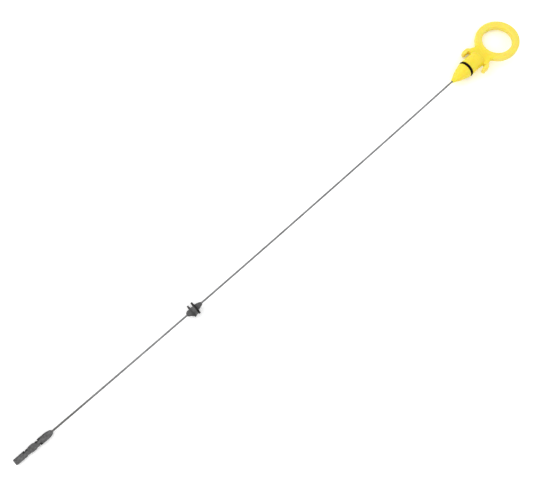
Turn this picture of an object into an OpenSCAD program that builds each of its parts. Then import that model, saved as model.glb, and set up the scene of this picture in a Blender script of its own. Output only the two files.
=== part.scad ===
// Engine oil dipstick with a finger-ring handle, a stiff steel cable and a notched level blade.
// Millimetres. The dipstick lies on Z = 0 as it comes to rest, with its cable along X and
// the handle at +X. The middle of its outline in X and Y is the origin.
// Distances along the cable are measured from the middle of the seal.

/* [Finger ring] */
// Diameter of the finger hole
ring_hole_d = 24.0; // [22:0.2:30]
// Width of the ring's band, seen flat
ring_band = 5.9; // [5:0.1:8]
// Thickness of the ring's band
ring_t = 5.6; // [4.4:0.1:6.4]
// Radius of the band's four long edges
ring_edge_r = 1.5; // [0.4:0.1:1.8]
// Distance from the seal to the middle of the ring
ring_at = 37.0; // [36:0.5:48]

/* [Cap] */
// Thickness of the flat cap, its arms and the neck
cap_t = 5.0; // [4:0.1:6.4]
// Width over the two side arms
cap_w = 24.4; // [22:0.2:30]
// Distance from the seal to the underside of the cap
cap_at = 13.0; // [10:0.5:15]
// Height of the cap's upright sides above its underside
cap_side_h = 0.4; // [0.2:0.1:3]
// Height of the sloping shoulders
shoulder_h = 5.6; // [3:0.1:6.4]
// Height at which the shoulders turn from steep to shallow
knee_h = 2.4; // [1:0.1:2.8]
// Width over the two turns in the shoulders
knee_w = 19.8; // [18:0.2:21.6]
// Width of the neck that carries the ring
neck_w = 16.5; // [10:0.5:18]
// Thickness of each side arm
arm_t = 3.0; // [2:0.1:3.6]
// Length that the side arms reach below the cap
arm_drop = 5.3; // [3:0.1:8]
// Radius of the outer corners of the cap and arms
cap_corner_r = 1.1; // [0.3:0.1:1.4]

/* [Plug] */
// Diameter of the plug that fits in the guide tube
plug_d = 13.5; // [12:0.1:15]
// How far the plug's round end stands up the cap past its underside
plug_rise = 0.9; // [0.3:0.1:3]
// How much that end narrows in radius
plug_end_bevel = 0.3; // [0.1:0.1:1]
// Width of the seal's groove
groove_w = 2.3; // [2.2:0.1:3.2]
// Diameter at the base of the nose, beside the groove
nose_d = 13.1; // [11.6:0.1:13.4]
// Length of the short straight land between the groove and the nose
land_len = 0.9; // [0.4:0.1:2]
// Length of the tapered nose
nose_len = 14.0; // [8:0.1:20]
// Diameter at the tip of the nose
nose_tip_d = 2.6; // [2.5:0.1:5]
// How far the nose's side bulges out from a straight taper
nose_bulge = 0.45; // [0:0.05:0.8]

/* [Seal] */
// Outer diameter of the sealing ring
seal_od = 13.9; // [13.7:0.1:14.4]
// Diameter of the sealing ring's section
seal_section = 1.8; // [1.6:0.1:2.2]
// Depth to which the ring's inner side is flattened on the groove's floor
seal_flat = 0.12; // [0.05:0.01:0.2]

/* [Cable] */
// Diameter of the twisted steel cable
cable_d = 1.6; // [1.2:0.1:2.2]
// Length of cable held in the handle above the seal
cable_in_handle = 8.0; // [4:0.5:10]
// Length of cable held in the level blade
cable_in_blade = 12.0; // [6:0.5:20]
// Sideways drift of the blade's end from the handle's axis, the cable's own set
side_drift = 7.2; // [3:0.1:12]

/* [Crimp ferrule] */
// Outer diameter of the ferrule crimped on the cable inside the plug
ferrule_d = 3.2; // [2.6:0.1:4]
// Length of the ferrule
ferrule_len = 8.0; // [4:0.5:12]

/* [Guide stop] */
// Distance from the seal to the upper face of the first flange
stop_at = 288.0; // [200:0.1:340]
// Diameter of the first flange, the one nearer the handle
flange_d = 10.6; // [8:0.1:12]
// Diameter of the second flange
second_flange_d = 10.2; // [8:0.1:12]
// Thickness of each flange
flange_t = 1.3; // [0.6:0.1:2]
// Gap between the two flanges
flange_gap = 2.4; // [1.5:0.1:4]
// Diameter of the neck between the flanges and of the cone's base
stop_neck_d = 5.0; // [3:0.1:6]
// Length of the cone on the handle's side
cone_len = 5.0; // [3:0.1:8]
// Wall left around the cable at the stop's thin ends
stop_lip = 0.3; // [0.2:0.05:0.5]
// Diameter of the collar on the blade's side
collar_d = 4.8; // [3:0.1:6]
// Length of the collar
collar_len = 3.9; // [3.2:0.1:8]
// Length of the taper at the collar's end
collar_taper = 1.7; // [0.5:0.1:3]
// Diameter at the collar's blunt end
collar_end_d = 2.6; // [2.4:0.1:3]
// How far the web on one side stands out from the stop's axis
web_out = 4.5; // [3.2:0.1:4.8]
// Thickness of that web, which ties the two flanges together
web_t = 1.8; // [1:0.1:3]
// Length of the web's slope behind the second flange
web_slope = 2.3; // [1:0.1:3]

/* [Level blade] */
// Distance from the seal to the blade's rounded shoulder
blade_at = 422.7; // [380:0.1:480]
// Thickness of the flat blade
blade_t = 2.6; // [2.3:0.1:3.5]
// Width of the blade's shoulder and of the bulge between the marks
blade_w = 5.3; // [4.8:0.1:7]
// Width of the blade below the lower mark
blade_end_w = 4.8; // [4.2:0.1:5.6]
// Width of the blade on each side of the bulge
waist_w = 4.4; // [4.1:0.1:4.7]
// Width left at the two level notches
notch_w = 3.3; // [3:0.1:4]
// Length of each notch along the blade
notch_len = 1.3; // [0.8:0.1:1.6]
// Wall left around the cable where the blade starts
blade_lip = 0.2; // [0.1:0.05:0.5]
// Length of the rounded shoulder next to the cable
shoulder_len = 6.0; // [3:0.1:8]
// Distance from the blade's start to the upper notch
upper_mark = 11.8; // [9.5:0.1:16]
// Distance between the two notches
mark_gap = 10.8; // [9.5:0.1:20]
// Distance from the lower notch to the blade's end
blade_tail = 10.0; // [6:0.1:20]
// Length of the bulge between the marks
bulge_len = 5.0; // [3:0.1:5.5]
// Length of the slope at each end of the bulge
bulge_slope = 0.8; // [0.4:0.1:1.2]
// Corner cut at the blade's end
blade_chamfer = 0.5; // [0.2:0.1:1.2]

/* [Hidden] */

// Sides of round shapes, of rounded outlines, of the cable's section and of its wide arc
ROUND = 96;
CORNER = 32;
SECTION = 32;
ARC = 3600;
// Steps along a bulging side and a rounded end
CURVE_STEPS = 8;
// How far a cut runs past the face that it opens
PAST = 1;
// How deep the foot of the stop's web is sunk in the collar
WEB_SINK = 0.3;

ring_r = ring_hole_d / 2;
ring_outer_r = ring_r + ring_band;
seal_r = seal_od / 2;
groove_floor_r = seal_r - seal_section + seal_flat;
cable_r = cable_d / 2;
blade_len = upper_mark + mark_gap + blade_tail;
blade_end = blade_at + blade_len;

// The cable droops so that the seal, the first flange and the blade's end all touch the ground.
flange_mid = stop_at + flange_t / 2;
second_at = flange_t + flange_gap;
flange_slope = (flange_d / 2 - seal_r) / flange_mid;
end_slope = (blade_t / 2 - seal_r) / blade_end;
droop_rate = (flange_slope - end_slope) / (blade_end - flange_mid);
lie_slope = flange_slope + droop_rate * flange_mid;
lie_pitch = atan(lie_slope);

// One circular arc carries both the droop and the sideways drift.
drift_rate = side_drift / (blade_end * blade_end);
bow_r = 1 / (2 * norm([drift_rate, droop_rate]));
bow_turn = atan2(-droop_rate, drift_rate);

// The handle rolls about its axis until the ring's lower edge reaches the ground.
ring_axis_z = seal_r - lie_slope * ring_at;
edge_reach = ring_outer_r - ring_edge_r;
edge_rise = ring_t / 2 - ring_edge_r;
handle_roll = asin((ring_axis_z - ring_edge_r) / norm([edge_reach, edge_rise]))
    - atan2(edge_rise, edge_reach);

// Middle of the outline in X, which becomes the origin
high_x = (ring_at + ring_outer_r) * cos(lie_pitch);
low_x = -bow_r * sin(bow_angle(blade_end));
mid_x = (high_x + low_x) / 2;

// Angle of the arc, in degrees, over a distance along the cable
function bow_angle(distance) = distance / bow_r * 180 / PI;

// Half outlines are mirrored about the X axis to close a symmetric outline.
function mirrored(half) = concat(half, [for (i = [len(half) - 1:-1:0]) [half[i].x, -half[i].y]]);

// Radius of the nose from its base, at 0, to its tip, at 1
function nose_radius(t) = nose_d / 2 * (1 - t) + nose_tip_d / 2 * t + nose_bulge * 4 * t * (1 - t);

// Radius of the stop's cone from its thin end, at 0, to its base, at 1
function cone_radius(t) = let (thin = cable_r + stop_lip)
    thin + (stop_neck_d / 2 - thin) * sin(90 * t);

// Puts the whole dipstick on the ground with its middle at the origin
module lying() {
    translate([-mid_x, 0, seal_r]) rotate([0, lie_pitch, 0]) children();
}

// Turns a piece's plane of bending to the cable's own, with the seal at the origin
module in_bow_plane() {
    rotate([bow_turn, 0, 0]) children();
}

// Places a level piece at a distance along the cable, with the cable leaving towards -X
module on_cable(distance) {
    in_bow_plane()
        translate([0, bow_r, 0])
            rotate([0, 0, -bow_angle(distance)])
                translate([0, -bow_r, 0])
                    rotate([-bow_turn, 0, 0])
                        children();
}

// A round bar that follows the cable's arc between two distances from the seal
module cable_bar(from, to, d) {
    in_bow_plane()
        translate([0, bow_r, 0])
            rotate([0, 0, 270 - bow_angle(to)])
                rotate_extrude(angle = bow_angle(to - from), $fn = ARC)
                    translate([bow_r, 0])
                        circle(d = d, $fn = SECTION);
}

// Turns an outline of [distance along -X, radius] about the X axis
module turned(points) {
    rotate([0, -90, 0])
        rotate_extrude($fn = ROUND)
            polygon([for (p = points) [p.y, p.x]]);
}

// A rectangle centred on the origin with four round corners
module rounded_rectangle(w, h, r) {
    square([w - 2 * r, h], center = true);
    square([w, h - 2 * r], center = true);
    for (x = [-1, 1], y = [-1, 1])
        translate([x * (w / 2 - r), y * (h / 2 - r)])
            circle(r = r, $fn = CORNER);
}

module finger_ring() {
    translate([ring_at, 0, 0])
        rotate_extrude($fn = ROUND)
            translate([ring_r + ring_band / 2, 0])
                rounded_rectangle(ring_band, ring_t, ring_edge_r);
}

// Flat cap with its two arms, sloping shoulders and the neck that runs into the ring
module cap_plate() {
    arm_y = cap_w / 2 - arm_t;
    side_x = cap_at + cap_side_h;
    half = [
        [cap_at, arm_y],
        [cap_at - arm_drop, arm_y],
        [cap_at - arm_drop, cap_w / 2],
        [side_x, cap_w / 2],
        [side_x + knee_h, knee_w / 2],
        [side_x + shoulder_h, neck_w / 2],
        [ring_at, neck_w / 2],
    ];
    translate([0, 0, -cap_t / 2])
        linear_extrude(cap_t)
            difference() {
                offset(r = cap_corner_r, $fn = CORNER)
                    offset(delta = -cap_corner_r)
                        polygon(mirrored(half));
                translate([ring_at, 0])
                    circle(r = ring_r + ring_band / 2, $fn = ROUND);
            }
}

// Plug with the seal's groove, a short land and the tapered nose, all turned on one axis
module plug_and_nose() {
    groove = groove_w / 2;
    nose_from = groove + land_len;
    nose_side = [for (i = [0:CURVE_STEPS]) let (t = i / CURVE_STEPS)
        [nose_from + nose_len * t, nose_radius(t)]];
    turned(concat(
        [[-cap_at - plug_rise, 0], [-cap_at - plug_rise, plug_d / 2 - plug_end_bevel],
         [-cap_at, plug_d / 2], [-groove, plug_d / 2],
         [-groove, groove_floor_r], [groove, groove_floor_r],
         [groove, nose_d / 2]],
        nose_side,
        [[nose_from + nose_len, 0]]));
}

// Space that the moulding leaves around the cable and its ferrule
module handle_core() {
    cable_bar(-cable_in_handle, groove_w / 2 + land_len + nose_len + PAST, cable_d);
    ferrule_bar();
}

module ferrule_bar() {
    cable_bar(-cable_in_handle, ferrule_len - cable_in_handle, ferrule_d);
}

module handle() {
    color("gold")
        lying()
            difference() {
                rotate([-handle_roll, 0, 0]) {
                    finger_ring();
                    cap_plate();
                    plug_and_nose();
                }
                handle_core();
            }
}

module seal_ring() {
    color("black")
        lying()
            rotate([0, 90, 0])
                difference() {
                    rotate_extrude($fn = ROUND)
                        translate([seal_r - seal_section / 2, 0])
                            circle(d = seal_section, $fn = CORNER);
                    cylinder(r = groove_floor_r, h = 2 * seal_section, center = true, $fn = ROUND);
                }
}

module cable() {
    color("silver")
        lying()
            cable_bar(-cable_in_handle, blade_at + cable_in_blade, cable_d);
}

module crimp_ferrule() {
    color("darkgray")
        lying()
            difference() {
                ferrule_bar();
                cable_bar(-cable_in_handle - PAST, ferrule_len - cable_in_handle + PAST, cable_d);
            }
}

// Cone, two flanges with a neck between them, and a tapered collar, turned on one axis
module turned_stop() {
    collar_at = second_at + flange_t;
    collar_to = collar_at + collar_len;
    cone_side = [for (i = [0:CURVE_STEPS]) let (t = i / CURVE_STEPS)
        [cone_len * (t - 1), cone_radius(t)]];
    turned(concat(
        [[-cone_len, 0]],
        cone_side,
        [[0, flange_d / 2], [flange_t, flange_d / 2],
         [flange_t, stop_neck_d / 2], [second_at, stop_neck_d / 2],
         [second_at, second_flange_d / 2], [collar_at, second_flange_d / 2],
         [collar_at, collar_d / 2], [collar_to - collar_taper, collar_d / 2],
         [collar_to, collar_end_d / 2], [collar_to, 0]]));
}

// Flat web on the -Y side that runs from flange to flange and slopes down to the collar
module stop_web() {
    from = flange_t / 2;
    to = second_at + flange_t;
    foot = collar_d / 2 - WEB_SINK;
    linear_extrude(web_t, center = true)
        polygon([[-from, 0], [-from, -web_out], [-to, -web_out],
                 [-to - web_slope, -foot], [-to - web_slope, 0]]);
}

module guide_stop() {
    reach = cone_len + flange_t + flange_gap + flange_t + collar_len;
    color("dimgray")
        lying()
            difference() {
                on_cable(stop_at) {
                    turned_stop();
                    stop_web();
                }
                cable_bar(stop_at - reach, stop_at + reach, cable_d);
            }
}

// Flat outline of the blade with its round shoulder, two notches and the bulge between them
module blade_outline() {
    lower_mark = upper_mark + mark_gap;
    bulge_mid = upper_mark + mark_gap / 2;
    notch = notch_len / 2;
    bulge = bulge_len / 2;
    start_half = cable_r + blade_lip;
    shoulder = [for (i = [0:CURVE_STEPS]) let (a = 90 * i / CURVE_STEPS)
        [shoulder_len * (1 - cos(a)), start_half + (blade_w / 2 - start_half) * sin(a)]];
    half = concat(shoulder, [
        [upper_mark - notch, blade_w / 2],
        [upper_mark - notch, notch_w / 2],
        [upper_mark + notch, notch_w / 2],
        [upper_mark + notch, waist_w / 2],
        [bulge_mid - bulge, waist_w / 2],
        [bulge_mid - bulge + bulge_slope, blade_w / 2],
        [bulge_mid + bulge - bulge_slope, blade_w / 2],
        [bulge_mid + bulge, waist_w / 2],
        [lower_mark - notch, waist_w / 2],
        [lower_mark - notch, notch_w / 2],
        [lower_mark + notch, notch_w / 2],
        [lower_mark + notch, blade_end_w / 2],
        [blade_len - blade_chamfer, blade_end_w / 2],
        [blade_len, blade_end_w / 2 - blade_chamfer],
    ]);
    polygon(mirrored([for (p = half) [-p.x, p.y]]));
}

module level_blade() {
    color("dimgray")
        lying()
            difference() {
                on_cable(blade_at)
                    translate([0, 0, -blade_t / 2])
                        linear_extrude(blade_t)
                            blade_outline();
                cable_bar(blade_at - PAST, blade_at + cable_in_blade, cable_d);
            }
}

handle();
seal_ring();
cable();
crimp_ferrule();
guide_stop();
level_blade();
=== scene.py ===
"""Engine oil dipstick, dressed over its CAD frame.

Metres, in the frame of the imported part: the dipstick lies on Z = 0 with its cable along X and
its handle at +X. Each piece is modelled about the middle of the seal, or about its own place on
the cable, with the handle towards +X, and is then laid down where the CAD has it.
"""

import logging
from contextlib import contextmanager
from dataclasses import dataclass
from enum import Enum
from math import asin, atan, atan2, cos, hypot, pi, radians, sin
from typing import Callable, Iterator, Sequence

import bmesh
import bpy
from mathutils import Matrix, Vector

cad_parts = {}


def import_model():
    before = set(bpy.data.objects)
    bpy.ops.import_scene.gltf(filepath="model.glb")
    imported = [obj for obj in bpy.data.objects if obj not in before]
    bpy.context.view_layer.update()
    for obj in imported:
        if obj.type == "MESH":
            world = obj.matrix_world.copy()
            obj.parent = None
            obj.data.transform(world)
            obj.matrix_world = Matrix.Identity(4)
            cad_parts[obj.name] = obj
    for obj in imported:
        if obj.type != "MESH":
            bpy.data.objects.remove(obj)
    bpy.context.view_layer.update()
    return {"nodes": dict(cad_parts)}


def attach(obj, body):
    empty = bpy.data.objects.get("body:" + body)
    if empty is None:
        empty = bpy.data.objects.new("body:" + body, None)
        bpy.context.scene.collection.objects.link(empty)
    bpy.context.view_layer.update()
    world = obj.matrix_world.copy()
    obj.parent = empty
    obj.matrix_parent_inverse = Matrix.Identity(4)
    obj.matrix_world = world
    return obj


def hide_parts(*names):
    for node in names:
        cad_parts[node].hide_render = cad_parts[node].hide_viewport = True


Socket = bpy.types.NodeSocket
Triple = tuple[float, float, float]
Span = tuple[float, float]

MM = 0.001
ROOT = "root"
LOG = logging.getLogger("dipstick")

# A face looks along an axis when its normal reaches this far along it.
FACING = 0.9
# Places closer than the first are one place, and points closer than the second are merged.
NEAR = 0.01 * MM
DOUBLES = 0.002 * MM
# A bore's cutter has this many sides and reaches this far past what it cuts.
BORE_SIDES = 32
PAST = 1 * MM
# A rounded edge has this many segments.
EDGE_STEPS = 3

# A share that grows from none to all across a span, and one that fades away.
RISING = (0.0, 1.0)
FALLING = (1.0, 0.0)


class Node(Enum):
    """The CAD nodes that the pieces stand for or dress."""

    HANDLE = "handle"
    SEAL = "seal_ring"
    CABLE = "cable"
    FERRULE = "crimp_ferrule"
    STOP = "guide_stop"
    BLADE = "level_blade"


class Slot(Enum):
    """The record's material slots."""

    YELLOW_PLASTIC = "yellow_plastic"
    BLACK_RUBBER = "black_rubber"
    CABLE_STEEL = "cable_steel"
    FERRULE_STEEL = "ferrule_steel"
    DARK_PLASTIC = "dark_plastic"


class Way(Enum):
    """How one solid is worked into another."""

    JOIN = "UNION"
    CUT = "DIFFERENCE"


@dataclass(frozen=True)
class Lie:
    """How the dipstick lies on the ground: the seal, a flange and the blade's end touch it."""

    seal_r: float = 6.95 * MM
    ring_at: float = 37.0 * MM
    ring_outer_r: float = 17.9 * MM
    ring_t: float = 5.6 * MM
    ring_edge_r: float = 1.5 * MM
    flange_r: float = 5.3 * MM
    flange_mid: float = 288.65 * MM
    blade_half_t: float = 1.3 * MM
    blade_end: float = 455.3 * MM
    side_drift: float = 7.2 * MM

    @property
    def droop_rate(self) -> float:
        """Works out how fast the cable droops.

        Returns:
            The droop over the square of the distance from the seal.
        """
        flange_slope = (self.flange_r - self.seal_r) / self.flange_mid
        end_slope = (self.blade_half_t - self.seal_r) / self.blade_end
        return (flange_slope - end_slope) / (self.blade_end - self.flange_mid)

    @property
    def slope(self) -> float:
        """Slope of the handle's axis where it leaves the seal."""
        return (self.flange_r - self.seal_r) / self.flange_mid + self.droop_rate * self.flange_mid

    @property
    def drift_rate(self) -> float:
        """Sideways drift over the square of the distance from the seal."""
        return self.side_drift / self.blade_end**2

    @property
    def bow_r(self) -> float:
        """Radius of the wide arc that the cable follows."""
        return 1 / (2 * hypot(self.drift_rate, self.droop_rate))

    @property
    def bow_turn(self) -> float:
        """Angle about X of the plane that the arc lies in."""
        return atan2(-self.droop_rate, self.drift_rate)

    @property
    def handle_roll(self) -> float:
        """Works out how far the handle rolls to bring the ring's lower edge to the ground.

        Returns:
            The angle about the handle's axis.
        """
        reach = self.ring_outer_r - self.ring_edge_r
        rise = self.ring_t / 2 - self.ring_edge_r
        height = self.seal_r - self.slope * self.ring_at - self.ring_edge_r
        return asin(height / hypot(reach, rise)) - atan2(rise, reach)

    @property
    def laid(self) -> Matrix:
        """Works out where the seal's own frame lies.

        Returns:
            The matrix that lays a piece there.
        """
        pitch = atan(self.slope)
        high = (self.ring_at + self.ring_outer_r) * cos(pitch)
        low = -self.bow_r * sin(self.blade_end / self.bow_r)
        return Matrix.Translation((-(high + low) / 2, 0, self.seal_r)) @ Matrix.Rotation(pitch, 4, "Y")

    @property
    def handle(self) -> Matrix:
        """Place of the handle's frame, rolled about its axis."""
        return self.laid @ Matrix.Rotation(-self.handle_roll, 4, "X")

    def on_cable(self, distance: float) -> Matrix:
        """Gives the place of a level piece on the cable.

        Args:
            distance: distance along the cable from the middle of the seal.

        Returns:
            The matrix that lays the piece there, with the cable leaving towards -X.
        """
        to_centre = Matrix.Translation((0, self.bow_r, 0))
        turn = Matrix.Rotation(self.bow_turn, 4, "X")
        swing = Matrix.Rotation(-distance / self.bow_r, 4, "Z")
        return self.laid @ turn @ to_centre @ swing @ to_centre.inverted() @ turn.inverted()


LIE = Lie()


def only(piece: bpy.types.Object) -> None:
    """Makes a piece the active object and the only one selected.

    Args:
        piece: the piece to work on.
    """
    bpy.ops.object.select_all(action="DESELECT")
    bpy.context.view_layer.objects.active = piece
    piece.select_set(True)


@contextmanager
def editing(piece: bpy.types.Object, mode: str = "FACE") -> Iterator[None]:
    """Opens a piece in edit mode with nothing selected, and closes it again.

    Args:
        piece: the mesh object to edit.
        mode: the kind of element that is selected, VERT, EDGE or FACE.

    Yields:
        Nothing; the edit session is the context.
    """
    only(piece)
    bpy.ops.object.mode_set(mode="EDIT")
    bpy.ops.mesh.select_mode(type=mode)
    bpy.ops.mesh.select_all(action="DESELECT")
    yield
    bpy.ops.object.mode_set(mode="OBJECT")


def take_all() -> None:
    """Selects all of the mesh in edit mode."""
    bpy.ops.mesh.select_all(action="SELECT")


def face_out() -> None:
    """Turns all faces of the mesh in edit mode outwards."""
    take_all()
    bpy.ops.mesh.normals_make_consistent(inside=False)


def spin_round(sides: int, centre: Triple, axis: Triple) -> None:
    """Spins the flat outline in edit mode into a closed ring.

    Args:
        sides: the number of steps.
        centre: a point of the axis.
        axis: the direction of the axis.
    """
    take_all()
    bpy.ops.mesh.delete(type="ONLY_FACE")
    take_all()
    bpy.ops.mesh.spin(steps=sides, angle=2 * pi, center=centre, axis=axis)
    take_all()
    bpy.ops.mesh.remove_doubles(threshold=DOUBLES)
    face_out()


def pick(piece: bpy.types.Object, wanted: Callable[[Vector, Vector], bool], edges: bool = False) -> None:
    """Selects the faces or edges of a piece in edit mode by their place.

    Args:
        piece: the object in edit mode.
        wanted: takes a face's middle and normal, or an edge's two ends, and says whether it is wanted.
        edges: whether edges are picked, and not faces.
    """
    mesh = bmesh.from_edit_mesh(piece.data)
    for one in mesh.edges if edges else mesh.faces:
        facts = (one.verts[0].co, one.verts[1].co) if edges else (one.calc_center_median(), one.normal)
        one.select_set(wanted(*facts))
    mesh.select_flush_mode()
    bmesh.update_edit_mesh(piece.data)


def named(name: str) -> bpy.types.Object:
    """Names the primitive that was just added, with its place taken into its mesh.

    Args:
        name: its name.

    Returns:
        The object.
    """
    piece = bpy.context.object
    piece.name = piece.data.name = name
    bpy.ops.object.transform_apply(location=True, rotation=True, scale=True)
    return piece


def block(name: str, middle: Triple, size: Triple) -> bpy.types.Object:
    """Adds a block, to be drawn out further.

    Args:
        name: its name.
        middle: where its middle lies.
        size: its length along each axis.

    Returns:
        The new object.
    """
    bpy.ops.mesh.primitive_cube_add(size=1, location=middle)
    bpy.context.object.scale = size
    return named(name)


def modify(piece: bpy.types.Object, kind: str, **settings: object) -> None:
    """Adds a modifier to a piece, sets it and applies it.

    Args:
        piece: the object to modify.
        kind: Blender's name of the modifier's type.
        **settings: values for the modifier's properties.
    """
    only(piece)
    bpy.ops.object.modifier_add(type=kind)
    modifier = piece.modifiers[-1]
    for key, value in settings.items():
        setattr(modifier, key, value)
    bpy.ops.object.modifier_apply(modifier=modifier.name)


def round_edges(piece: bpy.types.Object, width: float, angle: float) -> None:
    """Rounds the edges of a piece that are sharper than an angle in degrees."""
    limit = radians(angle)
    modify(piece, "BEVEL", width=width, segments=EDGE_STEPS, limit_method="ANGLE", angle_limit=limit)


def work_in(piece: bpy.types.Object, tool: bpy.types.Object, way: Way) -> None:
    """Joins a solid to a piece or cuts it out of it, and removes the solid.

    Args:
        piece: the object that stays.
        tool: the solid that is joined on or cut away.
        way: whether it is joined or cut.
    """
    modify(piece, "BOOLEAN", object=tool, operation=way.value, solver="EXACT")
    bpy.data.objects.remove(tool)


def lay(piece: bpy.types.Object, place: Matrix) -> None:
    """Moves a piece to its place and takes that place into its mesh.

    Args:
        piece: the piece in its own frame.
        place: where that frame lies.
    """
    only(piece)
    piece.matrix_world = place
    bpy.ops.object.transform_apply(location=True, rotation=True, scale=True)


def smooth(piece: bpy.types.Object, angle: float = 35.0) -> None:
    """Shades a piece smooth, apart from edges sharper than an angle in degrees."""
    only(piece)
    bpy.ops.object.shade_smooth_by_angle(angle=radians(angle))


@dataclass(frozen=True)
class Section:
    """A cross-section of a drawn-out form, square to X."""

    x: float
    half_y: float
    half_z: float

    @classmethod
    def round(cls, x: float, radius: float) -> "Section":
        """Gives a round section."""
        return cls(x, radius, radius)


def draw_out(piece: bpy.types.Object, sections: Sequence[Section]) -> None:
    """Draws a form out of its end face, from section to section.

    Args:
        piece: the object whose end face is drawn out, which has the first section there.
        sections: the sections in order along X, the first one the face as it is.
    """
    side = 1.0 if sections[-1].x > sections[0].x else -1.0
    with editing(piece):
        pick(piece, lambda _, normal: normal.x * side > FACING)
        for old, new in zip(sections, sections[1:]):
            bpy.ops.mesh.extrude_region_move(TRANSFORM_OT_translate={"value": (new.x - old.x, 0, 0)})
            bpy.ops.transform.resize(
                value=(1, new.half_y / old.half_y, new.half_z / old.half_z), center_override=(0, 0, 0)
            )


def rod(name: str, ends: Span, radii: Span, sides: int) -> bpy.types.Object:
    """Adds a round rod or cone along X.

    Args:
        name: its name.
        ends: the lower and upper X.
        radii: the radius at the lower and the upper end.
        sides: the number of sides.

    Returns:
        The new object.
    """
    bpy.ops.mesh.primitive_cone_add(
        vertices=sides,
        radius1=radii[0],
        radius2=radii[1],
        depth=ends[1] - ends[0],
        location=((ends[0] + ends[1]) / 2, 0, 0),
        rotation=(0, pi / 2, 0),
    )
    return named(name)


@dataclass(frozen=True)
class Pattern:
    """A noise pattern: the size of its grain, the finer grain laid on it, and the span that counts."""

    size: float
    detail: float = 3.0
    span: Span = (0.3, 0.7)
    roughness: float = 0.55


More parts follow.
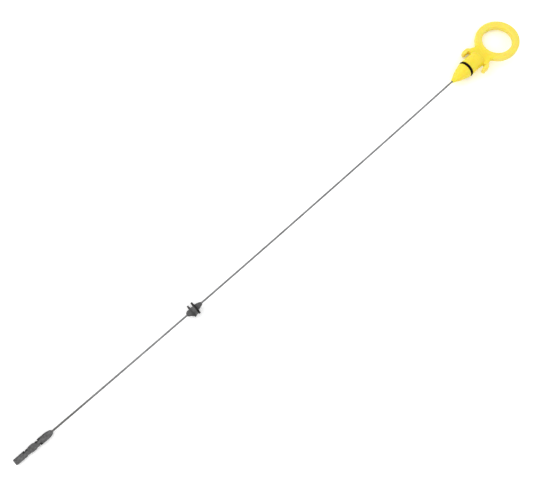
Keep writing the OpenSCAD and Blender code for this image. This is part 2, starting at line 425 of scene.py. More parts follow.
class NodeSheet:
    """The node tree of one material or world, with short calls for nodes and their links."""

    def __init__(self, owner: bpy.types.ID, to_local: Matrix = Matrix()) -> None:
        """Starts with an empty tree.

        Args:
            owner: the material or world that the tree belongs to.
            to_local: the matrix from the part's frame to the frame of the piece that is dressed.
        """
        owner.use_nodes = True
        self.tree = owner.node_tree
        self.tree.nodes.clear()
        self.to_local = to_local

    def add(self, kind: str, /, sockets: dict | None = None, **settings: object) -> bpy.types.Node:
        """Adds a node.

        Args:
            kind: the node's type name.
            sockets: input sockets by name or number, with a value or a socket to link.
            **settings: values for the node's own properties.

        Returns:
            The new node.
        """
        node = self.tree.nodes.new(kind)
        for key, value in settings.items():
            setattr(node, key, value)
        for key, value in (sockets or {}).items():
            if isinstance(value, Socket):
                self.tree.links.new(value, node.inputs[key])
            else:
                node.inputs[key].default_value = value
        return node

    def maths(self, operation: str, *values: float | Socket) -> Socket:
        """Adds a math node.

        Args:
            operation: the operation's name.
            *values: its inputs in order, numbers or sockets.

        Returns:
            The node's output socket.
        """
        return self.add("ShaderNodeMath", dict(enumerate(values)), operation=operation).outputs[0]

    def place(self, scale: Triple = (1, 1, 1)) -> Socket:
        """Reads Object coordinates and turns them to the piece's own frame.

        Args:
            scale: how much the pattern is squeezed along each axis of the piece.

        Returns:
            The socket with the point.
        """
        coordinates = self.add("ShaderNodeTexCoord").outputs["Object"]
        turn = self.to_local.to_euler("XYZ")
        sockets = {"Vector": coordinates, "Location": self.to_local.translation, "Rotation": turn}
        turned = self.add("ShaderNodeMapping", sockets).outputs[0]
        return self.add("ShaderNodeMapping", {"Vector": turned, "Scale": scale}).outputs[0]

    def axes(self, point: Socket) -> bpy.types.bpy_prop_collection:
        """Splits a point into its sockets X, Y and Z."""
        return self.add("ShaderNodeSeparateXYZ", {0: point}).outputs

    def apart(self, value: Socket, target: float) -> Socket:
        """Measures how far a value lies from a number."""
        return self.maths("ABSOLUTE", self.maths("SUBTRACT", value, target))

    def radius(self, point: Socket) -> Socket:
        """Measures how far a point lies from the piece's X axis.

        Args:
            point: the socket with the point.

        Returns:
            The socket with the distance.
        """
        flat = self.add("ShaderNodeMapping", {"Vector": point, "Scale": (0, 1, 1)}).outputs[0]
        return self.add("ShaderNodeVectorMath", {0: flat}, operation="LENGTH").outputs["Value"]

    def noise(self, point: Socket, pattern: Pattern) -> Socket:
        """Adds a noise pattern.

        Args:
            point: the socket with the point.
            pattern: the pattern.

        Returns:
            The socket with the pattern, about 0.5 in the middle.
        """
        sockets = {"Vector": point, "Scale": 1 / pattern.size}
        sockets |= {"Detail": pattern.detail, "Roughness": pattern.roughness}
        return self.add("ShaderNodeTexNoise", sockets).outputs["Fac"]

    def vary(self, point: Socket, pattern: Pattern, target: Span = RISING) -> Socket:
        """Adds a noise pattern and maps the span of it that counts to another."""
        return self.spread(self.noise(point, pattern), pattern.span, target)

    def spread(self, value: Socket, source: Span, target: Span = RISING) -> Socket:
        """Maps a value from one span to another, held at its ends.

        Args:
            value: the socket with the value.
            source: the span that is read.
            target: the span that is given.

        Returns:
            The socket with the mapped value.
        """
        sockets = {0: value, 1: source[0], 2: source[1], 3: target[0], 4: target[1]}
        return self.add("ShaderNodeMapRange", sockets).outputs[0]

    def blend(self, share: float | Socket, first: Triple | Socket, second: Triple | Socket) -> Socket:
        """Mixes two colours, each linear and given as three numbers or as a socket.

        Args:
            share: the second colour's share, a number or a socket.
            first: the first colour.
            second: the second colour.

        Returns:
            The socket with the colour.
        """
        sockets: dict = {0: share}
        for number, colour in ((6, first), (7, second)):
            sockets[number] = colour if isinstance(colour, Socket) else (*colour, 1)
        return self.add("ShaderNodeMix", sockets, data_type="RGBA").outputs[2]

    def bump(self, height: Socket, depth: float, under: Socket | None = None) -> Socket:
        """Adds relief.

        Args:
            height: the socket with the height, from 0 to 1.
            depth: the depth of the relief in metres.
            under: another relief that this one is added to.

        Returns:
            The socket with the normal.
        """
        sockets: dict = {"Height": height, "Distance": depth, "Strength": 1.0}
        if under is not None:
            sockets["Normal"] = under
        return self.add("ShaderNodeBump", sockets).outputs[0]

    def grey(self, kind: str, level: float, **more: float) -> Socket:
        """Adds a plain grey shader.

        Args:
            kind: the shader's type name.
            level: how bright the grey is, from 0 to 1.
            **more: values for its other sockets.

        Returns:
            The shader's output socket.
        """
        return self.add(kind, {"Color": (level, level, level, 1), **more}).outputs[0]

    def seen_apart(self, light: Socket, seen: Socket) -> Socket:
        """Mixes what lights the object with what the camera sees, directly or in gloss and glass.

        Args:
            light: the shader that lights the object.
            seen: the shader that is seen.

        Returns:
            The mixed shader's socket.
        """
        rays = self.add("ShaderNodeLightPath").outputs
        either = self.maths("MAXIMUM", rays["Is Camera Ray"], rays["Is Glossy Ray"])
        watched = self.maths("MAXIMUM", either, rays["Is Transmission Ray"])
        return self.add("ShaderNodeMixShader", {0: watched, 1: light, 2: seen}).outputs[0]

    def surface(self, **sockets: float | Triple | Socket) -> None:
        """Closes a material with a principled surface.

        Args:
            **sockets: the surface's inputs, with underscores for spaces.
        """
        named_sockets = {key.replace("_", " "): value for key, value in sockets.items()}
        shader = self.add("ShaderNodeBsdfPrincipled", named_sockets)
        self.add("ShaderNodeOutputMaterial", {"Surface": shader.outputs[0]})


@dataclass(frozen=True)
class Finish:
    """A finish that dresses pieces."""

    name: str
    slot: Slot

    def paint(self, sheet: NodeSheet) -> None:
        """Draws the finish's nodes; each finish has its own.

        Args:
            sheet: the empty node tree.
        """
        raise NotImplementedError

    def dress(self, piece: bpy.types.Object, place: Matrix) -> None:
        """Gives a piece this finish.

        Args:
            piece: the piece to dress.
            place: where the piece's own frame lies.
        """
        material = bpy.data.materials.new(f"{self.name}_{piece.name}")
        self.paint(NodeSheet(material, place.inverted()))
        piece.data.materials.clear()
        piece.data.materials.append(material)


@dataclass(frozen=True)
class MouldedYellow(Finish):
    """Bright yellow moulded plastic with a satin skin and a fine parting line, with a pale sheen painted on
    the ring and the arms and shade painted in the seal's groove.
    """

    colour: Triple = (0.93, 0.76, 0.042)
    deeper: Triple = (0.93, 0.71, 0.028)
    deeper_share: float = 0.5
    # Painted sheen: the paler yellow that is laid on the ring and the arms.
    pale: Triple = (0.93, 0.765, 0.105)
    sheen_ring_from: Span = (21.0 * MM, 27.0 * MM)
    sheen_arms_from: Span = (8.6 * MM, 9.6 * MM)
    # Painted shade: the dark brown laid in the seal's groove and, more faintly, on its rim.
    groove_shade: Triple = (0.10, 0.06, 0.01)
    groove_half: Span = (1.15 * MM, 1.30 * MM)
    groove_r: Span = (6.2 * MM, 6.5 * MM)
    rim_shade: float = 0.3
    line_half: float = 0.07 * MM
    line_h: float = 0.04 * MM
    cloud: Pattern = Pattern(6 * MM, 2.0, (0.35, 0.7))
    grain: Pattern = Pattern(0.18 * MM)
    grain_h: float = 0.012 * MM
    gloss: Pattern = Pattern(1.6 * MM)
    roughness: Span = (0.30, 0.42)
    refraction: float = 1.47
    glow: float = 0.6
    glow_depth: Triple = (1.6 * MM, 0.8 * MM, 0.15 * MM)

    def paint(self, sheet: NodeSheet) -> None:
        """Draws the yellow skin.

        Args:
            sheet: the empty node tree.
        """
        point = sheet.place()
        axes = sheet.axes(point)
        deeper = sheet.vary(point, self.cloud, (0.0, self.deeper_share))
        colour = sheet.blend(deeper, self.colour, self.deeper)
        # Painted sheen: the ring and the arms are blended towards the paler yellow.
        sheen_on_ring = sheet.spread(axes["X"], self.sheen_ring_from)
        sheen_on_arms = sheet.spread(sheet.maths("ABSOLUTE", axes["Y"]), self.sheen_arms_from)
        colour = sheet.blend(sheet.maths("MAXIMUM", sheen_on_ring, sheen_on_arms), colour, self.pale)
        # Painted shade: the groove and its rim are darkened towards dark brown.
        beside = sheet.spread(sheet.maths("ABSOLUTE", axes["X"]), self.groove_half, FALLING)
        inside = sheet.spread(sheet.radius(point), self.groove_r, (1.0, self.rim_shade))
        colour = sheet.blend(sheet.maths("MULTIPLY", beside, inside), colour, self.groove_shade)
        seam = sheet.spread(sheet.maths("ABSOLUTE", axes["Z"]), (0.0, self.line_half), FALLING)
        grain = sheet.bump(sheet.noise(point, self.grain), self.grain_h)
        sheet.surface(
            Base_Color=colour,
            Roughness=sheet.vary(point, self.gloss, self.roughness),
            Normal=sheet.bump(seam, self.line_h, grain),
            IOR=self.refraction,
            Subsurface_Weight=self.glow,
            Subsurface_Radius=self.glow_depth,
            Subsurface_Scale=1.0,
        )


@dataclass(frozen=True)
class SealRubber(Finish):
    """Black rubber with a soft sheen and the fine flash line of its mould."""

    colour: Triple = (0.006, 0.002, 0.001)
    dusty: Triple = (0.012, 0.007, 0.005)
    dusty_share: float = 0.25
    line_half: float = 0.05 * MM
    line_h: float = 0.03 * MM
    dust_and_painted_light: Pattern = Pattern(1.2 * MM, span=(0.5, 0.8))
    grain: Pattern = Pattern(0.12 * MM)
    grain_h: float = 0.01 * MM
    gloss: Pattern = Pattern(0.8 * MM)
    roughness: Span = (0.55, 0.68)
    sheen: float = 0.08

    def paint(self, sheet: NodeSheet) -> None:
        """Draws the black rubber.

        Args:
            sheet: the empty node tree.
        """
        point = sheet.place()
        flash = sheet.spread(sheet.maths("ABSOLUTE", sheet.axes(point)["X"]), (0.0, self.line_half), FALLING)
        grain = sheet.bump(sheet.noise(point, self.grain), self.grain_h)
        dusty = sheet.vary(point, self.dust_and_painted_light, (0.0, self.dusty_share))
        sheet.surface(
            Base_Color=sheet.blend(dusty, self.colour, self.dusty),
            Roughness=sheet.vary(point, self.gloss, self.roughness),
            Normal=sheet.bump(flash, self.line_h, grain),
            Specular_IOR_Level=self.sheen,
        )


@dataclass(frozen=True)
class DrawnSteel(Finish):
    """Bright steel with fine lines along the wire, and more and more oil towards its far end."""

    light: Triple = (0.36, 0.36, 0.365)
    dark: Triple = (0.24, 0.24, 0.245)
    oily: Triple = (0.145, 0.143, 0.140)
    handled: Span = (-100 * MM, -160 * MM)
    handled_share: float = 0.25
    dipped: Span = (-345 * MM, -402 * MM)
    cloud: Pattern = Pattern(9 * MM, 2.0, (0.35, 0.65))
    lines: Pattern = Pattern(0.08 * MM, 2.0)
    lines_along: Triple = (0.04, 1, 1)
    lines_h: float = 0.004 * MM
    roughness: Span = (0.26, 0.40)

    def paint(self, sheet: NodeSheet) -> None:
        """Draws the steel.

        Args:
            sheet: the empty node tree.
        """
        lines = sheet.noise(sheet.place(self.lines_along), self.lines)
        point = sheet.place()
        bare = sheet.blend(sheet.vary(point, self.cloud), self.light, self.dark)
        along = sheet.axes(point)["X"]
        handled = sheet.spread(along, self.handled, (0.0, self.handled_share))
        film = sheet.maths("MAXIMUM", handled, sheet.spread(along, self.dipped))
        sheet.surface(
            Base_Color=sheet.blend(film, bare, self.oily),
            Metallic=1.0,
            Roughness=sheet.spread(lines, self.lines.span, self.roughness),
            Normal=sheet.bump(lines, self.lines_h),
        )


@dataclass(frozen=True)
class DarkPlastic(Finish):
    """Matt dark grey plastic with a fine moulded grain and a few light scuffs."""

    colour: Triple = (0.110, 0.110, 0.112)
    filmed: Triple = (0.075, 0.074, 0.073)
    scuff: Triple = (0.22, 0.22, 0.222)
    scuff_share: float = 0.7
    black: Triple = (0.004, 0.004, 0.004)
    sheen: float = 0.15
    film: Pattern = Pattern(1.7 * MM, 4.0, (0.35, 0.65))
    scratches: Pattern = Pattern(0.25 * MM, 4.0, (0.56, 0.72))
    scratches_along: Triple = (0.12, 1, 1)
    cloud: Pattern = Pattern(2.4 * MM, 2.0)
    scuffed_span: Span = (0.4, 0.65)
    scuffed: Span = (0.2, 1.0)
    grain: Pattern = Pattern(0.14 * MM)
    grain_h: float = 0.018 * MM
    roughness: Span = (0.50, 0.62)

    def paint(self, sheet: NodeSheet) -> None:
        """Draws the dark plastic.

        Args:
            sheet: the empty node tree.
        """
        point = sheet.place()
        scratches = sheet.vary(sheet.place(self.scratches_along), self.scratches)
        cloud = sheet.noise(point, self.cloud)
        worn = sheet.maths("MULTIPLY", scratches, sheet.spread(cloud, self.scuffed_span, self.scuffed))
        colour = sheet.blend(sheet.vary(point, self.film), self.colour, self.filmed)
        colour = sheet.blend(sheet.maths("MULTIPLY", worn, self.scuff_share), colour, self.scuff)
        # Painted light: where a piece asks, the colour is lifted towards the scuff grey.
        colour = sheet.blend(self.dust_and_painted_light(sheet, point), colour, self.scuff)
        # Blackened places and painted shade take the colour towards black.
        sheet.surface(
            Base_Color=sheet.blend(self.black_and_painted_shade(sheet, point), colour, self.black),
            Roughness=sheet.spread(cloud, self.cloud.span, self.roughness),
            Normal=sheet.bump(sheet.noise(point, self.grain), self.grain_h),
            Specular_IOR_Level=self.sheen,
        )

    def dust_and_painted_light(self, sheet: NodeSheet, point: Socket) -> float | Socket:
        """Says where the plastic is painted lighter, which is nowhere unless a piece says so."""
        return 0.0

    def black_and_painted_shade(self, sheet: NodeSheet, point: Socket) -> Socket:
        """Says where the plastic is blackened and where shade is painted on it; each piece has its own
        places.

        Args:
            sheet: the node tree.
            point: the socket with the point in the piece's frame.

        Returns:
            The socket with the share of black.
        """
        raise NotImplementedError


@dataclass(frozen=True)
class StopPlastic(DarkPlastic):
    """Dark plastic with blackened flanges, darker towards -Y with painted shade, and a painted lighter neck.
    """

    flanges: Span = (-0.65 * MM, -4.35 * MM)
    flange_half: Span = (0.68 * MM, 0.93 * MM)
    shares: Span = (0.88, 0.45)
    reach: Span = (2.3 * MM, 2.9 * MM)
    inner_share: float = 0.25
    # Painted shade: the flanges darken further towards -Y, the side away from the key lamp.
    shaded_side: Span = (-1.2 * MM, -3.0 * MM)
    shade_more: float = 0.15
    # Painted light: lifts the neck and the web between the flanges, which the flanges shade.
    painted_light_at: float = -2.5 * MM
    painted_light_half: Span = (1.3 * MM, 1.8 * MM)
    painted_light_share: float = 0.95

    def dust_and_painted_light(self, sheet: NodeSheet, point: Socket) -> Socket:
        """Paints the neck and the web between the flanges lighter, as painted light where the flanges shade
        them.
        """
        from_middle = sheet.apart(sheet.axes(point)["X"], self.painted_light_at)
        return sheet.spread(from_middle, self.painted_light_half, (self.painted_light_share, 0.0))

    def black_and_painted_shade(self, sheet: NodeSheet, point: Socket) -> Socket:
        """Blackens the two flanges, the first one most, with painted shade that darkens them further towards
        -Y.

        Args:
            sheet: the node tree.
            point: the socket with the point in the piece's frame.

        Returns:
            The socket with the share of black.
        """
        outside = sheet.spread(sheet.radius(point), self.reach, (self.inner_share, 1.0))
        axes = sheet.axes(point)
        near = []
        for flange, share in zip(self.flanges, self.shares):
            on_flange = sheet.spread(sheet.apart(axes["X"], flange), self.flange_half, FALLING)
            # Painted shade: each flange grows darker towards -Y.
            down = sheet.spread(axes["Y"], self.shaded_side, (share, min(1.0, share + self.shade_more)))
            near.append(sheet.maths("MULTIPLY", on_flange, down))
        return sheet.maths("MULTIPLY", outside, sheet.maths("MAXIMUM", *near))


@dataclass(frozen=True)
class BladePlastic(DarkPlastic):
    """Dark plastic with painted shade in one edge's level notches and along that edge, and darker spots at a
    few corners.
    """

    marks: Span = (-11.8 * MM, -22.6 * MM)
    mark_half: Span = (1.1 * MM, 2.2 * MM)
    # Painted shade: darkens the notches on the +Y edge and, a little, that whole edge.
    notch_y: Span = (0.5 * MM, 1.2 * MM)
    notch_shade: float = 0.9
    edge_y: Span = (1.0 * MM, 1.8 * MM)
    edge_shade: float = 0.3
    corners: tuple[Span, ...] = ((-10.7 * MM, -2.0 * MM), (-9.9 * MM, 2.3 * MM), (-20.9 * MM, 2.0 * MM))
    corner_r: Span = (1.4 * MM, 2.1 * MM)
    corner_patches: Pattern = Pattern(0.9 * MM, span=(0.3, 0.6))
    corner_dark: Span = (0.6, 0.95)

    def black_and_painted_shade(self, sheet: NodeSheet, point: Socket) -> Socket:
        """Darkens one edge's notches and, a little, that long edge with painted shade, and darkens spots at
        the corners.

        Args:
            sheet: the node tree.
            point: the socket with the point in the piece's frame.

        Returns:
            The socket with the share of black.
        """
        axes = sheet.axes(point)
        near = [sheet.spread(sheet.apart(axes["X"], mark), self.mark_half, FALLING) for mark in self.marks]
        # Painted shade in the notches and along the +Y edge.
        notch = sheet.spread(axes["Y"], self.notch_y, (0.0, self.notch_shade))
        notches = sheet.maths("MULTIPLY", sheet.maths("MAXIMUM", *near), notch)
        edge = sheet.spread(axes["Y"], self.edge_y, (0.0, self.edge_shade))
        black = sheet.maths("MAXIMUM", edge, notches)
        patchy = sheet.vary(point, self.corner_patches, self.corner_dark)
        for x, y in self.corners:
            sockets = {0: point, 1: (x, y, 0)}
            off = sheet.add("ShaderNodeVectorMath", sockets, operation="DISTANCE").outputs["Value"]
            spot = sheet.maths("MULTIPLY", sheet.spread(off, self.corner_r, FALLING), patchy)
            black = sheet.maths("MAXIMUM", black, spot)
        return black


def hand_over(piece: bpy.types.Object, node: Node, finish: Finish, place: Matrix) -> None:
    """Dresses a finished piece and lets it stand for its CAD node.

    Args:
        piece: the finished piece.
        node: the node that it replaces.
        finish: the finish that dresses it.
        place: where its own frame lies.
    """
    finish.dress(piece, place)
    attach(piece, ROOT)
    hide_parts(node.value)
    LOG.info("%s stands for %s: %d triangles", piece.name, node.value, triangles(piece))


def triangles(piece: bpy.types.Object) -> int:
    """Counts the triangles of a piece."""
    piece.data.calc_loop_triangles()
    return len(piece.data.loop_triangles)


@dataclass
class Handle:
    """The finger ring, cap and plug, moulded in one piece."""

    finish: Finish
    ring_r: float = 12.0 * MM
    ring_band: float = 5.9 * MM
    cap_t: float = 4.98 * MM
    cap_w: float = 24.4 * MM
    cap_at: float = 13.0 * MM
    cap_side_h: float = 0.4 * MM
    shoulder_h: float = 5.6 * MM
    knee_h: float = 2.4 * MM
    knee_w: float = 19.8 * MM
    neck_w: float = 16.5 * MM
    neck_to: float = 23.0 * MM
    arm_t: float = 3.0 * MM
    arm_drop: float = 5.3 * MM
    corner_r: float = 1.1 * MM
    plug_r: float = 6.75 * MM
    plug_rise: float = 0.9 * MM
    plug_end_r: float = 6.45 * MM
    groove_half: float = 1.15 * MM
    groove_floor_r: float = 5.27 * MM
    nose_r: float = 6.55 * MM
    land_len: float = 0.9 * MM
    nose_len: float = 14.0 * MM
    nose_tip_r: float = 1.3 * MM
    nose_bulge: float = 0.45 * MM
    bore_r: float = 0.8 * MM
    ferrule_r: float = 1.6 * MM
    ferrule_len: float = 8.0 * MM
    sides: int = 96
    nose_steps: int = 16
    ring_edge_steps: int = 8
    corner_steps: int = 6
    voxel: float = 0.2 * MM
    relax: float = 0.5
    relax_rounds: int = 5
    keep: float = 0.4

    def build(self) -> None:
        """Models the handle, lays it down and dresses it."""
        piece = self.cap_plate()
        work_in(piece, self.finger_ring(), Way.JOIN)
        work_in(piece, self.plug(), Way.JOIN)
        self.soften(piece)
        work_in(piece, self.core(), Way.CUT)
        smooth(piece, angle=50)
        lay(piece, LIE.handle)
        hand_over(piece, Node.HANDLE, self.finish, LIE.handle)

    def finger_ring(self) -> bpy.types.Object:
        """Spins the rounded band round the finger hole.

        Returns:
            The ring.
        """
        middle = (LIE.ring_at + self.ring_r + self.ring_band / 2, 0, 0)
        bpy.ops.mesh.primitive_plane_add(size=1, location=middle, rotation=(pi / 2, 0, 0))
        ring = named("finger_ring")
        with editing(ring, "VERT"):
            take_all()
            bpy.ops.transform.resize(value=(self.ring_band, 1, LIE.ring_t), center_override=middle)
            bpy.ops.mesh.bevel(offset=LIE.ring_edge_r, segments=self.ring_edge_steps, affect="VERTICES")
            spin_round(self.sides, (LIE.ring_at, 0, 0), (0, 0, 1))
        return ring

    def cap_plate(self) -> bpy.types.Object:
        """Draws the flat cap out to its neck and its two arms.

        Returns:
            The plate.
        """
        side_x = self.cap_at + self.cap_side_h
        middle = ((self.cap_at + side_x) / 2, 0, 0)
        plate = block("yellow_handle", middle, (self.cap_side_h, self.cap_w, self.cap_t))
        half_w, half_t, half_neck = self.cap_w / 2, self.cap_t / 2, self.neck_w / 2
        draw_out(
            plate,
            [
                Section(side_x, half_w, half_t),
                Section(side_x + self.knee_h, self.knee_w / 2, half_t),
                Section(side_x + self.shoulder_h, half_neck, half_t),
                Section(self.neck_to, half_neck, half_t),
            ],
        )
        arm_y = half_w - self.arm_t
        with editing(plate):
            for y in (-arm_y, arm_y):
                take_all()
                bpy.ops.mesh.bisect(plane_co=(0, y, 0), plane_no=(0, 1, 0))
            pick(plate, lambda middle, normal: normal.x < -FACING and abs(middle.y) > arm_y)
            bpy.ops.mesh.extrude_region_move(TRANSFORM_OT_translate={"value": (-self.arm_drop, 0, 0)})
        arm_end = self.cap_at - self.arm_drop
        corners = [(side_x, half_w), (arm_end, half_w), (arm_end, arm_y)]
        with editing(plate, "EDGE"):
            pick(plate, lambda a, b: upright(a, b) and near_corner(a, corners), edges=True)
            bpy.ops.mesh.bevel(offset=self.corner_r, segments=self.corner_steps, affect="EDGES")
        return plate

    def plug(self) -> bpy.types.Object:
        """Draws the plug down from its flat top, past the seal's groove, to the tip of the nose.

        Returns:
            The plug.
        """
        top = self.cap_at + self.plug_rise
        plug = rod("plug", (self.cap_at, top), (self.plug_r, self.plug_end_r), self.sides)
        outline = [
            (self.cap_at, self.plug_r),
            (self.groove_half, self.plug_r),
            (self.groove_half, self.groove_floor_r),
            (-self.groove_half, self.groove_floor_r),
            (-self.groove_half, self.nose_r),
        ]
        outline += [self.nose_point(step / self.nose_steps) for step in range(self.nose_steps + 1)]
        draw_out(plug, [Section.round(x, radius) for x, radius in outline])
        return plug

    def nose_point(self, share: float) -> Span:
        """Gives a point of the nose's side.

        Args:
            share: from 0 at its base to 1 at its tip.

        Returns:
            The distance along X and the radius there.
        """
        straight = self.nose_r * (1 - share) + self.nose_tip_r * share
        x = -self.groove_half - self.land_len - self.nose_len * share
        return x, straight + self.nose_bulge * 4 * share * (1 - share)

    def soften(self, piece: bpy.types.Object) -> None:
        """Runs the joined forms into one skin with small round edges, as a mould leaves it.

        Args:
            piece: the joined handle.
        """
        modify(piece, "REMESH", mode="VOXEL", voxel_size=self.voxel)
        modify(piece, "SMOOTH", factor=self.relax, iterations=self.relax_rounds)
        modify(piece, "DECIMATE", ratio=self.keep)

    def core(self) -> bpy.types.Object:
        """Draws the space that the moulding leaves round the cable and its ferrule.

        Returns:
            The solid to cut away.
        """
        past_tip = -self.groove_half - self.land_len - self.nose_len - PAST
        core = rod("core", (0, self.ferrule_len), (self.ferrule_r, self.ferrule_r), BORE_SIDES)
        outline = [(0, self.ferrule_r), (0, self.bore_r), (past_tip, self.bore_r)]
        draw_out(core, [Section.round(x, radius) for x, radius in outline])
        return core


def upright(a: Vector, b: Vector) -> bool:
    """Says whether an edge runs along Z."""
    return hypot(a.x - b.x, a.y - b.y) < NEAR < abs(a.z - b.z)


def near_corner(point: Vector, corners: Sequence[Span]) -> bool:
    """Says whether a point lies over one of a mirrored outline's corners."""
    return any(hypot(point.x - x, abs(point.y) - y) < NEAR for x, y in corners)


@dataclass
class SealRing:
    """The rubber sealing ring in the plug's groove."""

    finish: Finish
    section_r: float = 0.9 * MM
    floor_r: float = 5.27 * MM
    inset: float = 0.01 * MM
    section_sides: int = 32
    sides: int = 96

    def build(self) -> None:
        """Models the seal, lays it down and dresses it."""
        middle = (0, LIE.seal_r - self.section_r - self.inset, 0)
        bpy.ops.mesh.primitive_circle_add(
            vertices=self.section_sides, radius=self.section_r, fill_type="NGON", location=middle
        )
        seal = named("black_seal")
        with editing(seal, "VERT"):
            take_all()
            bpy.ops.mesh.bisect(plane_co=(0, self.floor_r, 0), plane_no=(0, 1, 0), clear_inner=True)
            spin_round(self.sides, (0, 0, 0), (1, 0, 0))
        smooth(seal)
        lay(seal, LIE.laid)
        hand_over(seal, Node.SEAL, self.finish, LIE.laid)


@dataclass
class Cable:
    """The stiff steel cable: six wires twisted round a middle one."""

    finish: Finish
    radius: float = 0.8 * MM
    start: float = -8.0 * MM
    end: float = 434.6 * MM
    twist_length: float = 17.5 * MM
    wires: int = 6
    wire_sides: int = 10
    steps_per_turn: int = 22
    arc_steps: int = 64

    def build(self) -> None:
        """Models the twisted wires, bends them along the arc and dresses them."""
        cable = self.wire_ends()
        length = self.end - self.start
        turns = length / self.twist_length
        steps = round(self.steps_per_turn * turns)
        twist = {"angle": 2 * pi * turns, "screw_offset": length, "steps": steps, "render_steps": steps}
        modify(cable, "SCREW", axis="X", **twist)
        with editing(cable, "EDGE"):
            face_out()
            bpy.ops.mesh.fill_holes(sides=0)
            face_out()
        self.bend(cable)
        smooth(cable, angle=60)
        hand_over(cable, Node.CABLE, self.finish, LIE.laid)

    def wire_ends(self) -> bpy.types.Object:
        """Lays out the round ends of the wires, one in the middle and the others round it.

        Returns:
            The object that holds all the ends.
        """
        wire_r = self.radius / 3
        bpy.ops.object.select_all(action="DESELECT")
        ends = []
        for number in range(self.wires + 1):
            angle, out = 2 * pi * number / self.wires, 2 * wire_r if number else 0.0
            bpy.ops.mesh.primitive_circle_add(
                vertices=self.wire_sides,
                radius=wire_r,
                location=(0, out * cos(angle), out * sin(angle)),
                rotation=(0, pi / 2, 0),
            )
            ends.append(named("steel_cable"))
        for end in ends:
            end.select_set(True)
        bpy.context.view_layer.objects.active = ends[0]
        bpy.ops.object.join()
        return ends[0]

    def bend(self, cable: bpy.types.Object) -> None:
        """Bends the straight cable along its arc, from the blade to the handle.

        Args:
            cable: the straight cable, from the origin along +X.
        """
        bpy.ops.curve.primitive_bezier_curve_add(location=(0, 0, 0))
        arc = bpy.context.object
        arc.data.resolution_u = self.arc_steps
        # A handle a third as long as a shallow arc makes the curve run at an even pace along it.
        reach = (self.end - self.start) / 3
        for knot, distance in zip(arc.data.splines[0].bezier_points, (self.end, self.start)):
            place = LIE.on_cable(distance)
            knot.handle_left_type = knot.handle_right_type = "FREE"
            knot.co = place.translation
            knot.handle_left = place @ Vector((-reach, 0, 0))
            knot.handle_right = place @ Vector((reach, 0, 0))
        modify(cable, "CURVE", object=arc, deform_axis="POS_X")
        bpy.data.objects.remove(arc)


@dataclass
class Ferrule:
    """The crimp on the cable's end inside the plug, the CAD node itself."""

    finish: Finish

    def build(self, nodes: dict[str, bpy.types.Object]) -> None:
        """Dresses the node.

        Args:
            nodes: the frame's nodes by name.
        """
        node = nodes[Node.FERRULE.value]
        self.finish.dress(node, LIE.laid)
        LOG.info("%s is kept as it is: %d triangles", node.name, triangles(node))


@dataclass
class GuideStop:
    """The stop that centres the cable in its tube: a cone, two flanges and a collar."""

    finish: Finish
    at: float = 288.0 * MM
    flange_r: float = 5.29 * MM
    second_r: float = 5.1 * MM
    flange_t: float = 1.3 * MM
    gap: float = 2.4 * MM
    neck_r: float = 2.5 * MM
    cone_len: float = 5.0 * MM
    end_r: float = 1.1 * MM
    collar_r: float = 2.4 * MM
    collar_len: float = 3.9 * MM
    collar_end_r: float = 1.3 * MM
    taper: float = 1.7 * MM
    web_out: float = 4.5 * MM
    web_half: float = 0.9 * MM
    web_slope: float = 2.3 * MM
    web_sink: float = 0.3 * MM
    bore_r: float = 0.8 * MM
    edge: float = 0.16 * MM
    sides: int = 64
    cone_steps: int = 12

    def build(self) -> None:
        """Models the stop, lays it down and dresses it."""
        outline = self.outline()
        (first_x, first_r), (last_x, _) = outline[0], outline[-1]
        stop = rod("guide_stop_body", (first_x, self.cone_len), (first_r, self.end_r), self.sides)
        draw_out(stop, [Section.round(x, radius) for x, radius in outline])
        round_edges(stop, self.edge, 35)
        work_in(stop, self.web(), Way.JOIN)
        bore = (last_x - PAST, self.cone_len + PAST)
        work_in(stop, rod("bore", bore, (self.bore_r, self.bore_r), BORE_SIDES), Way.CUT)
        smooth(stop)
        place = LIE.on_cable(self.at)
        lay(stop, place)
        hand_over(stop, Node.STOP, self.finish, place)

    def outline(self) -> list[Span]:
        """Lists the stop's outline from the first step of its cone down to the collar's end.

        Returns:
            The distance along X and the radius of each section.
        """
        second = self.flange_t + self.gap
        collar = second + self.flange_t
        swell = self.neck_r - self.end_r
        shares = [step / self.cone_steps for step in range(1, self.cone_steps + 1)]
        cone = [(self.cone_len * (1 - share), self.end_r + swell * sin(pi / 2 * share)) for share in shares]
        return cone + [
            (0, self.flange_r),
            (-self.flange_t, self.flange_r),
            (-self.flange_t, self.neck_r),
            (-second, self.neck_r),
            (-second, self.second_r),
            (-collar, self.second_r),
            (-collar, self.collar_r),
            (-collar - self.collar_len + self.taper, self.collar_r),
            (-collar - self.collar_len, self.collar_end_r),
        ]

    def web(self) -> bpy.types.Object:
        """Draws the flat web on the -Y side, from flange to flange and down to the collar.

        Returns:
            The web.
        """
        start, end = -self.flange_t / 2, -2 * self.flange_t - self.gap
        middle = ((start + end) / 2, -self.web_out / 2, 0)
        web = block("web", middle, (start - end, self.web_out, 2 * self.web_half))
        steps = [(end, self.web_out), (end - self.web_slope, self.collar_r - self.web_sink)]
        draw_out(web, [Section(x, out, self.web_half) for x, out in steps])
        round_edges(web, self.edge, 20)
        return web


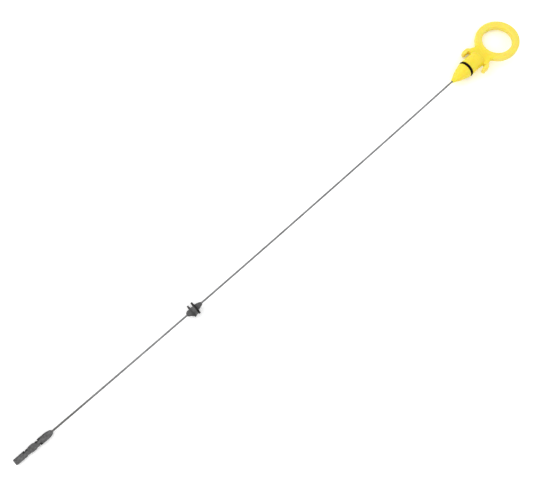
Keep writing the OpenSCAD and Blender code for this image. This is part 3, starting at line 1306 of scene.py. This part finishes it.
@dataclass
class LevelBlade:
    """The flat blade with its two level notches and the bulge between them."""

    finish: Finish
    at: float = 422.7 * MM
    half_t: float = 1.3 * MM
    half_w: float = 2.65 * MM
    end_half_w: float = 2.4 * MM
    waist: float = 2.2 * MM
    notch: float = 1.65 * MM
    notch_half: float = 0.65 * MM
    shoulder_len: float = 6.0 * MM
    start_half_w: float = 1.0 * MM
    upper_mark: float = 11.8 * MM
    lower_mark: float = 22.6 * MM
    length: float = 32.6 * MM
    bulge_half: float = 2.5 * MM
    bulge_slope: float = 0.8 * MM
    chamfer: float = 0.5 * MM
    bore_r: float = 0.8 * MM
    held: float = 12.0 * MM
    edge: float = 0.2 * MM
    shoulder_steps: int = 10

    def build(self) -> None:
        """Models the blade, lays it down and dresses it."""
        outline = self.outline()
        (first_x, first_w), (second_x, second_w) = outline[:2]
        middle = ((first_x + second_x) / 2, 0, 0)
        blade = block("dark_blade", middle, (first_x - second_x, 2 * first_w, 2 * self.half_t))
        with editing(blade):
            pick(blade, lambda _, normal: normal.x < -FACING)
            bpy.ops.transform.resize(value=(1, second_w / first_w, 1), center_override=(0, 0, 0))
        draw_out(blade, [Section(x, half_w, self.half_t) for x, half_w in outline[1:]])
        round_edges(blade, self.edge, 40)
        work_in(blade, rod("bore", (-self.held, PAST), (self.bore_r, self.bore_r), BORE_SIDES), Way.CUT)
        smooth(blade)
        place = LIE.on_cable(self.at)
        lay(blade, place)
        hand_over(blade, Node.BLADE, self.finish, place)

    def outline(self) -> list[Span]:
        """Lists the blade's outline from its round shoulder to its end.

        Returns:
            The distance along X and the half width of each section.
        """
        quarter = [pi / 2 * step / self.shoulder_steps for step in range(self.shoulder_steps + 1)]
        swell = self.half_w - self.start_half_w
        middle = (self.upper_mark + self.lower_mark) / 2
        points = [(self.shoulder_len * (1 - cos(a)), self.start_half_w + swell * sin(a)) for a in quarter]
        points += [
            (self.upper_mark - self.notch_half, self.half_w),
            (self.upper_mark - self.notch_half, self.notch),
            (self.upper_mark + self.notch_half, self.notch),
            (self.upper_mark + self.notch_half, self.waist),
            (middle - self.bulge_half, self.waist),
            (middle - self.bulge_half + self.bulge_slope, self.half_w),
            (middle + self.bulge_half - self.bulge_slope, self.half_w),
            (middle + self.bulge_half, self.waist),
            (self.lower_mark - self.notch_half, self.waist),
            (self.lower_mark - self.notch_half, self.notch),
            (self.lower_mark + self.notch_half, self.notch),
            (self.lower_mark + self.notch_half, self.end_half_w),
            (self.length - self.chamfer, self.end_half_w),
            (self.length, self.end_half_w - self.chamfer),
        ]
        return [(-distance, half_w) for distance, half_w in points]


@dataclass
class PhotoCamera:
    """The camera, nearly overhead, where the photograph was taken from."""

    place: Triple = (-0.13261, -0.02683, 0.61012)
    heading: float = radians(15.18)
    dip: float = radians(78.57)
    roll: float = radians(32.56)
    lens: float = 55.10
    sees: Span = (0.01, 20.0)

    def build(self) -> None:
        """Adds the camera and makes it the scene's."""
        flat = cos(self.dip)
        ahead = Vector((cos(self.heading) * flat, sin(self.heading) * flat, -sin(self.dip)))
        level = Vector((sin(self.heading), -cos(self.heading), 0))
        upward = level.cross(ahead)
        right = cos(self.roll) * level + sin(self.roll) * upward
        up = cos(self.roll) * upward - sin(self.roll) * level
        bpy.ops.object.camera_add()
        camera = bpy.context.object
        camera.name = "photo_camera"
        turned = Matrix((right, up, -ahead)).transposed().to_4x4()
        camera.matrix_world = Matrix.Translation(self.place) @ turned
        camera.data.lens = self.lens
        camera.data.clip_start, camera.data.clip_end = self.sees
        bpy.context.scene.camera = camera


@dataclass(frozen=True)
class Lamp:
    """A large soft lamp, aimed at the middle of the dipstick."""

    name: str
    place: Triple
    size: float
    power: float

    def build(self) -> None:
        """Adds the lamp."""
        bpy.ops.object.light_add(type="AREA", location=self.place)
        lamp = bpy.context.object
        lamp.name = self.name
        lamp.rotation_euler = (-Vector(self.place)).to_track_quat("-Z", "Y").to_euler()
        lamp.data.shape, lamp.data.size, lamp.data.energy = "SQUARE", self.size, self.power


@dataclass
class Studio:
    """The pale floor, the soft daylight all round and two large soft lamps."""

    floor_size: float = 8.0
    floor_grey: float = 0.9
    lift: float = 0.28
    ambient: float = 0.84
    lamps: tuple[Lamp, ...] = (
        Lamp("soft_key", place=(-0.55, 0.95, 1.05), size=1.1, power=7.0),
        Lamp("soft_fill", place=(-0.60, -0.80, 1.00), size=0.9, power=2.2),
    )

    def build(self) -> None:
        """Adds the floor, the daylight and the lamps."""
        bpy.context.scene.view_settings.view_transform = "Standard"
        self.floor()
        self.daylight()
        for lamp in self.lamps:
            lamp.build()

    def floor(self) -> None:
        """Adds the pale floor, white to the camera but with the object's shadow."""
        bpy.ops.mesh.primitive_plane_add(size=self.floor_size, location=(0, 0, 0))
        floor = named("floor")
        material = bpy.data.materials.new("pale_floor")
        sheet = NodeSheet(material)
        white = sheet.grey("ShaderNodeBsdfDiffuse", 1.0)
        lift = sheet.grey("ShaderNodeBsdfDiffuse", self.lift)
        seen = sheet.add("ShaderNodeAddShader", {0: white, 1: lift}).outputs[0]
        light = sheet.grey("ShaderNodeBsdfDiffuse", self.floor_grey)
        sheet.add("ShaderNodeOutputMaterial", {"Surface": sheet.seen_apart(light, seen)})
        floor.data.materials.append(material)

    def daylight(self) -> None:
        """Lights the object from all round, with plain white behind it."""
        world = bpy.context.scene.world or bpy.data.worlds.new("studio")
        bpy.context.scene.world = world
        sheet = NodeSheet(world)
        light = sheet.grey("ShaderNodeBackground", 1.0, Strength=self.ambient)
        white = sheet.grey("ShaderNodeBackground", 1.0, Strength=1.0)
        sheet.add("ShaderNodeOutputWorld", {"Surface": sheet.seen_apart(light, white)})


def main() -> None:
    """Builds the scene in order: camera, studio, then the dipstick from handle to blade."""
    logging.basicConfig(level=logging.INFO, format="%(name)s: %(message)s")
    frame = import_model()
    yellow = MouldedYellow("moulded_yellow", Slot.YELLOW_PLASTIC)
    rubber = SealRubber("seal_rubber", Slot.BLACK_RUBBER)
    steel = DrawnSteel("drawn_steel", Slot.CABLE_STEEL)
    crimped = DrawnSteel("crimped_steel", Slot.FERRULE_STEEL)
    stop_finish = StopPlastic("stop_plastic", Slot.DARK_PLASTIC)
    blade_finish = BladePlastic("blade_plastic", Slot.DARK_PLASTIC, colour=(0.150, 0.150, 0.152))
    PhotoCamera().build()
    Studio().build()
    Handle(yellow).build()
    SealRing(rubber).build()
    Cable(steel).build()
    Ferrule(crimped).build(frame["nodes"])
    GuideStop(stop_finish).build()
    LevelBlade(blade_finish).build()


if __name__ == "__main__":
    main()
